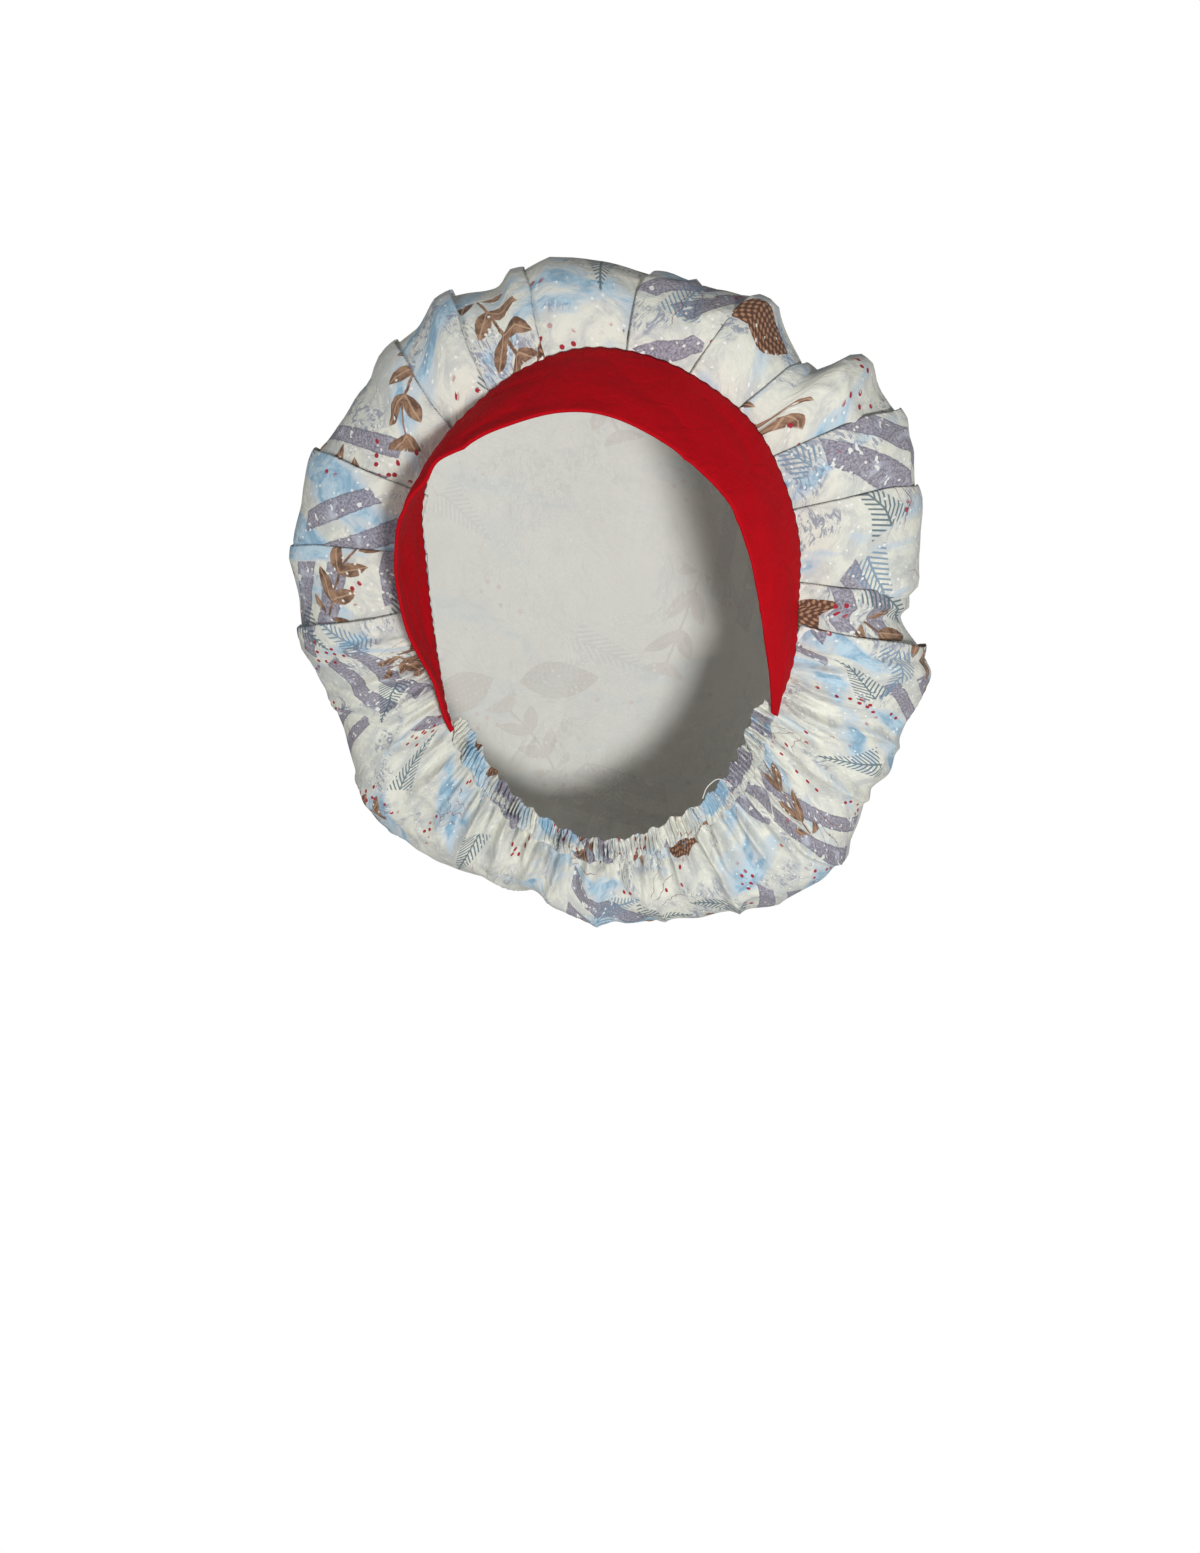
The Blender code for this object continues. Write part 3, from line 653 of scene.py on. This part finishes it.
class Shading:
    """A material's node tree, with short calls for the nodes used here. Each call takes
    numbers or other nodes' outputs and returns an output."""

    def __init__(self, name):
        self.material = bpy.data.materials.new(name)
        self.material.use_nodes = True
        self.tree = self.material.node_tree
        self.shader = self.tree.nodes["Principled BSDF"]
        uv = self.tree.nodes.new("ShaderNodeUVMap")
        uv.uv_map = "cloth"
        self.uv = uv.outputs["UV"]

    def feed(self, socket, value):
        """Links an output to a socket, or sets its value."""
        if isinstance(value, bpy.types.NodeSocket):
            self.tree.links.new(value, socket)
        elif value is not None:
            socket.default_value = value

    def math(self, operation, a, b=None, c=None):
        node = self.tree.nodes.new("ShaderNodeMath")
        node.operation = operation
        for socket, value in zip(node.inputs, (a, b, c)):
            self.feed(socket, value)
        return node.outputs[0]

    def times(self, a, b):
        return self.math("MULTIPLY", a, b)

    def plus(self, a, b):
        return self.math("ADD", a, b)

    def minus(self, a, b):
        return self.math("SUBTRACT", a, b)

    def away(self, a):
        """Distance of a value from 0."""
        return self.math("ABSOLUTE", a)

    def vector(self, operation, a, b=None, scale=None):
        node = self.tree.nodes.new("ShaderNodeVectorMath")
        node.operation = operation
        self.feed(node.inputs[0], a)
        self.feed(node.inputs[1], b)
        if scale is not None:
            self.feed(node.inputs["Scale"], scale)
        return node.outputs["Vector"]

    def band(self, value, low, high):
        """0 below low, 1 above high, smooth between. Low may be above high."""
        node = self.tree.nodes.new("ShaderNodeMapRange")
        node.interpolation_type = "SMOOTHSTEP"
        self.feed(node.inputs["Value"], value)
        flip = low > high if isinstance(low, float) and isinstance(high, float) else False
        self.feed(node.inputs["From Min"], high if flip else low)
        self.feed(node.inputs["From Max"], low if flip else high)
        self.feed(node.inputs["To Min"], 1.0 if flip else 0.0)
        self.feed(node.inputs["To Max"], 0.0 if flip else 1.0)
        return node.outputs["Result"]

    def noise(self, place, scale, detail=2.0, rough=0.5, distort=0.0):
        node = self.tree.nodes.new("ShaderNodeTexNoise")
        self.feed(node.inputs["Vector"], place)
        self.feed(node.inputs["Scale"], scale)
        self.feed(node.inputs["Detail"], detail)
        self.feed(node.inputs["Roughness"], rough)
        self.feed(node.inputs["Distortion"], distort)
        return node.outputs["Fac"]

    def cells(self, place, scale, loose=1.0):
        """Voronoi cells: distance to the nearest point, its colour and its place."""
        node = self.tree.nodes.new("ShaderNodeTexVoronoi")
        node.voronoi_dimensions = "2D"
        self.feed(node.inputs["Vector"], place)
        self.feed(node.inputs["Scale"], scale)
        self.feed(node.inputs["Randomness"], loose)
        return node.outputs["Distance"], node.outputs["Color"], node.outputs["Position"]

    def split(self, vector):
        node = self.tree.nodes.new("ShaderNodeSeparateXYZ")
        self.feed(node.inputs[0], vector)
        return node.outputs[0], node.outputs[1], node.outputs[2]

    def moved(self, place, offset, turn=0.0, stretch=(1.0, 1.0, 1.0)):
        node = self.tree.nodes.new("ShaderNodeMapping")
        self.feed(node.inputs["Vector"], place)
        node.inputs["Location"].default_value = offset
        node.inputs["Rotation"].default_value = (0.0, 0.0, turn)
        node.inputs["Scale"].default_value = stretch
        return node.outputs["Vector"]

    def mix(self, share, a, b, blend="MIX"):
        node = self.tree.nodes.new("ShaderNodeMix")
        node.data_type = "RGBA"
        node.blend_type = blend
        self.feed(node.inputs["Factor"], share)
        sockets = [s for s in node.inputs if s.type == "RGBA"]
        self.feed(sockets[0], a)
        self.feed(sockets[1], b)
        return [s for s in node.outputs if s.type == "RGBA"][0]

    def motif(self, place, scale, offset, loose=0.75):
        """A cell's own frame, centred on its point and turned at random: x and y in
        metres, and three random values of the cell."""
        _, colour, centre = self.cells(self.moved(place, offset), scale, loose)
        local = self.vector("SUBTRACT", self.moved(place, offset), centre)
        red, green, blue = self.split(colour)
        node = self.tree.nodes.new("ShaderNodeVectorRotate")
        node.rotation_type = "Z_AXIS"
        self.feed(node.inputs["Vector"], local)
        self.feed(node.inputs["Angle"], self.math("MULTIPLY", red, 2.0 * math.pi))
        x, y, _ = self.split(node.outputs[0])
        return x, y, red, green, blue

    def bump(self, height, distance, strength=1.0, under=None):
        node = self.tree.nodes.new("ShaderNodeBump")
        node.inputs["Strength"].default_value = strength
        node.inputs["Distance"].default_value = distance
        self.feed(node.inputs["Height"], height)
        self.feed(node.inputs["Normal"], under)
        return node.outputs["Normal"]


def cloth_weave(shade, threads_per_metre):
    """Height of a plain weave: the product of two sines across each other, with slubs."""
    x, y, _ = shade.split(shade.vector("SCALE", shade.uv, scale=threads_per_metre * math.pi))
    warp = shade.math("SINE", x)
    weft = shade.math("SINE", y)
    weave = shade.times(warp, weft)
    slub = shade.noise(shade.moved(shade.uv, (0.0, 0.0, 0.0), 0.0, (1.0, 0.12, 1.0)), 1400.0, 2.0)
    return shade.plus(shade.times(weave, 0.5), slub)


def finish_cloth(shade, colour, weave_threads, roughness, gloss, sheen):
    """Gives a cloth its colour, weave, crumple and the soft sheen of cotton."""
    shade.feed(shade.shader.inputs["Base Color"], colour)
    crumple = shade.noise(shade.uv, 95.0, 4.0, 0.6, 0.4)
    coarse = shade.bump(crumple, 0.0022, 0.65)
    fine = shade.bump(cloth_weave(shade, weave_threads), 0.00012, 0.5, coarse)
    shade.feed(shade.shader.inputs["Normal"], fine)
    for socket, value in (("Roughness", roughness), ("Specular IOR Level", gloss),
                          ("Sheen Weight", sheen), ("Sheen Roughness", 0.5)):
        shade.shader.inputs[socket].default_value = value
    return shade.material


def winter_print(shade):
    """The crown's print, in the cloth's flat metres: a cream ground with brushed blue
    washes and frost, broad lavender strokes with snow on them, brown leafy branches and
    cones, fir sprigs, thin twigs with crimson berries and a little snow over all."""
    place = shade.vector("ADD", shade.uv, (1.3, 2.1, 0.0))
    wobble = shade.noise(place, 330.0, 3.0, 0.6)
    rough_edge = shade.times(shade.minus(wobble, 0.5), 0.0016)

    smudge = shade.noise(place, 60.0, 6.0, 0.72, 0.8)
    colour = shade.mix(shade.band(smudge, 0.40, 0.62), tone(216, 216, 204), tone(190, 192, 188))

    brushed = shade.moved(place, (0.0, 0.0, 0.0), 0.5, (1.0, 2.4, 1.0))
    wash = shade.noise(brushed, 13.0, 3.0, 0.62, 0.5)
    thin_wash = shade.times(shade.band(wash, 0.52, 0.58), 0.7)
    colour = shade.mix(thin_wash, colour, tone(184, 198, 208))
    pooled = shade.times(shade.band(wash, 0.575, 0.625), 0.9)
    deep = shade.mix(shade.band(smudge, 0.42, 0.60), tone(126, 164, 188), tone(178, 202, 214))
    colour = shade.mix(pooled, colour, deep)

    frost = shade.noise(shade.moved(place, (0.0, 0.0, 0.0), -0.6, (1.0, 0.45, 1.0)), 330.0, 6.0, 0.72, 1.4)
    frost_area = shade.band(shade.noise(shade.moved(place, (0.4, 0.1, 0.0)), 22.0, 3.0, 0.6), 0.53, 0.61)
    frost_mark = shade.times(shade.band(frost, 0.50, 0.55), frost_area)
    frost_ink = shade.mix(smudge, tone(100, 118, 136), tone(150, 150, 168))
    colour = shade.mix(shade.times(frost_mark, 0.8), colour, frost_ink)

    colour = brushed_bars(shade, place, rough_edge, colour)
    colour = leafy_branches(shade, place, rough_edge, colour)
    colour = cones(shade, place, rough_edge, colour)
    colour = sprigs(shade, place, colour)
    colour = twigs_and_berries(shade, place, colour)

    distance, random, _ = shade.cells(place, 420.0)
    chosen, _, _ = shade.split(random)
    flake = shade.times(shade.band(distance, 0.34, 0.24), shade.band(chosen, 0.93, 0.94))
    return shade.mix(shade.times(flake, 0.85), colour, tone(228, 229, 224))


def brushed_bars(shade, place, rough_edge, colour):
    """Broad brush strokes in lavender grey, two side by side, darker along their edges,
    with bristle streaks and snow clinging to them."""
    for offset, length, kept in (((0.0, 0.0, 0.0), 0.036, 0.48), ((0.31, 0.17, 0.0), 0.028, 0.58)):
        x, y, _, green, blue = shade.motif(place, 9.0, offset, 0.7)
        y = shade.plus(y, rough_edge)
        lane = shade.minus(shade.away(y), 0.0090)
        width = shade.math("MULTIPLY_ADD", green, 0.0020, 0.0042)
        across = shade.minus(width, shade.away(lane))
        inside = shade.band(across, -0.0002, 0.0003)
        uneven = shade.math("MULTIPLY_ADD", y, 0.5, length)
        ends = shade.band(shade.minus(uneven, shade.away(x)), 0.0, 0.0008)
        keep = shade.band(blue, kept, kept + 0.02)
        mask = shade.times(shade.times(inside, ends), keep)
        grain = shade.noise(place, 800.0, 5.0, 0.75)
        shaded = shade.noise(place, 90.0, 3.0, 0.6)
        ink = shade.mix(shade.band(grain, 0.36, 0.64), tone(98, 94, 108), tone(164, 160, 172))
        ink = shade.mix(shade.band(shaded, 0.55, 0.70), ink, tone(174, 178, 190))
        edge = shade.times(shade.band(across, 0.0012, 0.0004), 0.45)
        ink = shade.mix(edge, ink, tone(88, 86, 102))
        snow = shade.band(shade.noise(place, 150.0, 2.0, 0.6, 0.5), 0.63, 0.65)
        ink = shade.mix(snow, ink, tone(222, 224, 218))
        colour = shade.mix(shade.times(mask, 0.92), colour, ink)
    return colour


def leaf_shape(shade, x, y, length, width):
    """Inside of a pointed oval: |y| under width (1 - (x / length)^2)."""
    along = shade.math("DIVIDE", x, length)
    rim = shade.minus(1.0, shade.times(along, along))
    return shade.minus(shade.times(rim, width), shade.away(y))


def leafy_branches(shade, place, rough_edge, colour):
    """Brown branches: a curved stem with pairs of pointed leaves that slant from it at
    even steps, in washed tones with a pale rib."""
    slant_x, slant_y, step = 0.72, 0.69, 0.0155
    for offset, kept in (((0.13, 0.41, 0.0), 0.52), ((0.62, 0.83, 0.0), 0.70)):
        x, y, _, _, blue = shade.motif(place, 10.5, offset, 0.7)
        y = shade.minus(y, shade.times(shade.times(x, x), 5.0))
        y = shade.plus(y, rough_edge)
        away = shade.away(y)
        station = shade.minus(shade.math("FLOORED_MODULO", x, step), step * 0.42)
        out = shade.minus(away, 0.0052)
        along = shade.plus(shade.times(station, slant_x),
                           shade.times(out, slant_y))
        across = shade.minus(shade.times(out, slant_x),
                            shade.times(station, slant_y))
        inside = shade.band(leaf_shape(shade, along, across, 0.0088, 0.0036), -0.0001, 0.0003)
        stem = shade.band(away, 0.0009, 0.0005)
        rib = shade.band(shade.away(across), 0.0005, 0.0002)
        span = shade.band(shade.away(x), 0.0235, 0.0225)
        keep = shade.band(blue, kept, kept + 0.02)
        wash = shade.band(shade.noise(place, 170.0, 4.0, 0.65), 0.35, 0.65)
        ink = shade.mix(wash, tone(96, 72, 58), tone(156, 124, 100))
        ink = shade.mix(shade.times(rib, 0.5), ink, tone(202, 170, 142))
        mask = shade.times(shade.math("MAXIMUM", inside, stem), span)
        colour = shade.mix(shade.times(mask, keep), colour, ink)
    return colour


def cones(shade, place, rough_edge, colour):
    """Brown cones: ovals crossed by two families of curved scales."""
    x, y, _, green, _ = shade.motif(place, 13.0, (0.53, 0.07, 0.0), 0.7)
    y = shade.plus(y, rough_edge)
    inside = shade.band(leaf_shape(shade, x, y, 0.020, 0.0100), -0.0002, 0.0003)
    bent = shade.times(shade.times(y, y), 45.0)
    scales = []
    for sign in ("ADD", "SUBTRACT"):
        slope = shade.plus(shade.math(sign, x, y), bent)
        scales.append(shade.math("SINE", shade.times(slope, 1150.0)))
    raised = shade.band(shade.times(*scales), -0.2, 0.7)
    ink = shade.mix(raised, tone(88, 62, 50), tone(168, 126, 98))
    keep = shade.band(green, 0.66, 0.68)
    return shade.mix(shade.times(inside, keep), colour, ink)


def sprigs(shade, place, colour):
    """Fir sprigs: a thin stem, and needles slanting from it that shorten to the tip."""
    for offset, ink in (((0.23, 0.29, 0.0), tone(74, 98, 108)), ((0.71, 0.59, 0.0), tone(112, 138, 160))):
        x, y, _, _, blue = shade.motif(place, 14.0, offset, 0.8)
        away = shade.away(y)
        along = shade.math("DIVIDE", shade.plus(x, 0.020), 0.040)
        width = shade.times(shade.minus(1.05, along), 0.0105)
        slant = shade.times(shade.minus(x, away), 1900.0)
        needle = shade.band(shade.math("SINE", slant), 0.0, 0.6)
        in_width = shade.band(shade.minus(width, away), 0.0, 0.0008)
        stem = shade.band(away, 0.0007, 0.0004)
        marks = shade.math("MAXIMUM", shade.times(needle, in_width), stem)
        span = shade.times(shade.band(along, 0.0, 0.03), shade.band(along, 1.0, 0.95))
        keep = shade.band(blue, 0.62, 0.64)
        mask = shade.times(shade.times(marks, span), keep)
        colour = shade.mix(shade.times(mask, 0.85), colour, ink)
    return colour


def twigs_and_berries(shade, place, colour):
    """Thin bent twigs in fans, with crimson berries scattered about them."""
    x, y, _, green, _ = shade.motif(place, 12.5, (0.83, 0.37, 0.0), 0.8)
    bend = shade.times(shade.noise(place, 75.0, 3.0), 0.016)
    reach = shade.math("MAXIMUM", shade.plus(x, 0.028), 0.002)
    fan = shade.math("DIVIDE", shade.plus(y, bend), reach)
    line = shade.away(shade.math("SINE", shade.times(fan, 9.0)))
    thin = shade.math("DIVIDE", 0.0029, reach)
    mark = shade.band(shade.minus(thin, line), 0.0, 0.04)
    in_fan = shade.band(shade.away(shade.minus(fan, 0.3)), 0.50, 0.45)
    span = shade.times(shade.band(reach, 0.010, 0.014), shade.band(reach, 0.040, 0.030))
    keep = shade.band(green, 0.40, 0.42)
    area = shade.times(shade.times(in_fan, span), keep)
    colour = shade.mix(shade.times(shade.times(mark, area), 0.75),
                       colour, tone(126, 84, 84))
    distance, random, _ = shade.cells(place, 190.0, 0.9)
    chosen, _, _ = shade.split(random)
    patch = shade.band(shade.noise(shade.moved(place, (0.2, 0.6, 0.0)), 26.0, 1.0), 0.58, 0.62)
    berry = shade.times(shade.band(distance, 0.26, 0.20), shade.band(chosen, 0.72, 0.74))
    berry = shade.times(berry, patch)
    return shade.mix(berry, colour, tone(156, 40, 52))


def print_material(name):
    """Printed quilting cotton, right side."""
    shade = Shading(name)
    return finish_cloth(shade, winter_print(shade), 1500.0, 0.82, 0.25, 0.08)


def wrong_side_material(name):
    """The same cotton from its wrong side: the print shows through weakly, and the colour is lightened
    further as painted light, for light shining through the thin cloth.
    """
    shade = Shading(name)
    # Pale wrong side: partly the real faded print, partly painted light standing in for light that comes
    # through the thin cotton.
    pale = shade.mix(0.84, winter_print(shade), tone(226, 226, 220))
    return finish_cloth(shade, pale, 1500.0, 0.88, 0.2, 0.05)


def red_material(name):
    """Red quilting cotton, a little uneven in its dye and paler where it is worn."""
    shade = Shading(name)
    blotch = shade.noise(shade.uv, 70.0, 3.0, 0.6)
    colour = shade.mix(blotch, tone(160, 4, 16), tone(178, 8, 22))
    thread = shade.noise(shade.moved(shade.uv, (0.0, 0.0, 0.0), 0.0, (1.0, 0.1, 1.0)), 2200.0, 1.0)
    colour = shade.mix(shade.times(thread, 0.12), colour, tone(200, 24, 36))
    return finish_cloth(shade, colour, 1700.0, 0.85, 0.08, 0.01)


def thread_material(name):
    """White sewing thread."""
    shade = Shading(name)
    shade.shader.inputs["Base Color"].default_value = tone(226, 226, 220)
    shade.shader.inputs["Roughness"].default_value = 0.7
    return shade.material


def set_camera():
    """A camera on the line from the middle of the opening, at the photograph's azimuth
    and elevation, turned until that middle falls on its pixel."""
    data = bpy.data.cameras.new("photo_camera")
    data.sensor_fit = "VERTICAL"
    data.angle = 2.0 * math.atan(IMAGE_HEIGHT / 2.0 / FOCAL_PIXELS)
    data.clip_start = 0.01
    camera = bpy.data.objects.new("photo_camera", data)
    bpy.context.scene.collection.objects.link(camera)
    flat = math.cos(CAMERA_ELEVATION)
    place = CAMERA_DISTANCE * Vector((math.sin(CAMERA_AZIMUTH) * flat,
                                      -math.cos(CAMERA_AZIMUTH) * flat,
                                      math.sin(CAMERA_ELEVATION)))
    across = (OPENING_MIDDLE_PIXEL[0] - IMAGE_WIDTH / 2.0) / FOCAL_PIXELS
    above = (IMAGE_HEIGHT / 2.0 - OPENING_MIDDLE_PIXEL[1]) / FOCAL_PIXELS
    heading = CAMERA_AZIMUTH + math.atan(across)
    pitch = -CAMERA_ELEVATION - math.atan(above)
    turn = Matrix.Rotation(heading, 4, "Z") @ Matrix.Rotation(math.pi / 2.0 + pitch, 4, "X")
    camera.matrix_world = Matrix.Translation(place) @ turn
    bpy.context.scene.camera = camera


def add_area_light(name, place, target, size, power):
    """A square softbox at a place, facing a target."""
    data = bpy.data.lights.new(name, "AREA")
    data.energy = power
    data.size = size
    light = bpy.data.objects.new(name, data)
    bpy.context.scene.collection.objects.link(light)
    light.location = place
    light.rotation_euler = (Vector(target) - Vector(place)).to_track_quat("-Z", "Y").to_euler()


def set_stage():
    """A wide pale floor well under the cap, a pale world and soft studio light."""
    floor_mesh = bpy.data.meshes.new("floor")
    reach, height = FLOOR_REACH, FLOOR_HEIGHT
    floor_mesh.from_pydata([(-reach, -reach, height), (reach, -reach, height),
                            (reach, reach, height), (-reach, reach, height)], [], [(0, 1, 2, 3)])
    floor = bpy.data.objects.new("floor", floor_mesh)
    bpy.context.scene.collection.objects.link(floor)
    paint = bpy.data.materials.new("floor_paint")
    paint.use_nodes = True
    shader = paint.node_tree.nodes["Principled BSDF"]
    shader.inputs["Base Color"].default_value = (0.6, 0.6, 0.6, 1.0)
    shader.inputs["Roughness"].default_value = 0.9
    shader.inputs["Emission Color"].default_value = (1.0, 1.0, 1.0, 1.0)
    shader.inputs["Emission Strength"].default_value = FLOOR_GLOW
    floor_mesh.materials.append(paint)

    world = bpy.data.worlds.new("pale_world")
    world.use_nodes = True
    nodes, links = world.node_tree.nodes, world.node_tree.links
    backdrop = nodes["Background"]
    backdrop.inputs["Color"].default_value = (1.0, 1.0, 1.0, 1.0)
    seen = nodes.new("ShaderNodeLightPath")
    strength = nodes.new("ShaderNodeMapRange")
    strength.inputs["To Min"].default_value = WORLD_LIGHT
    strength.inputs["To Max"].default_value = WORLD_SEEN
    links.new(seen.outputs["Is Camera Ray"], strength.inputs["Value"])
    links.new(strength.outputs["Result"], backdrop.inputs["Strength"])
    bpy.context.scene.world = world

    add_area_light("key", (0.34, -0.68, -0.68), (0.0, 0.0, 0.0), 0.16, 8.6)
    add_area_light("fill", (-0.9, -0.7, -0.1), (0.0, 0.0, 0.0), 0.4, 2.6)
    add_area_light("back", (0.3, 1.0, 0.6), (0.0, 0.0, 0.0), 0.5, 7.0)
    bpy.context.scene.view_settings.view_transform = "Standard"
    bpy.context.scene.view_settings.look = "None"


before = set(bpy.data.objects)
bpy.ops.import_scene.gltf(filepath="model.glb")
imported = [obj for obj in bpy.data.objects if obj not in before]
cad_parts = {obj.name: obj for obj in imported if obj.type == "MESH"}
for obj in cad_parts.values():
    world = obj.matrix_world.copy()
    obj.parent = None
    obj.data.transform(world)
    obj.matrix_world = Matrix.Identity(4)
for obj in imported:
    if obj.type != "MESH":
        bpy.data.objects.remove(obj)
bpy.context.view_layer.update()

printed = print_material("printed_cotton_face")
wrong_side = wrong_side_material("printed_cotton_back")
red_cotton = red_material("red_cotton")

crown = make_crown(printed, wrong_side)
headband = make_headband(red_cotton)
casing = make_casing(printed)
loose_thread = make_loose_thread(thread_material("white_thread"))

sectors = ["crown_nape_right", "crown_side_right", "crown_front_right",
           "crown_front_left", "crown_side_left", "crown_nape_left"]
for piece, nodes, slot in ((crown, sectors, "printed_cotton"),
                           (headband, ["headband"], "band_cotton"),
                           (casing, ["nape_casing"], "casing_cotton")):
    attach(piece, "root")
    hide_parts(*nodes)
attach(loose_thread, "root")

set_camera()
set_stage()
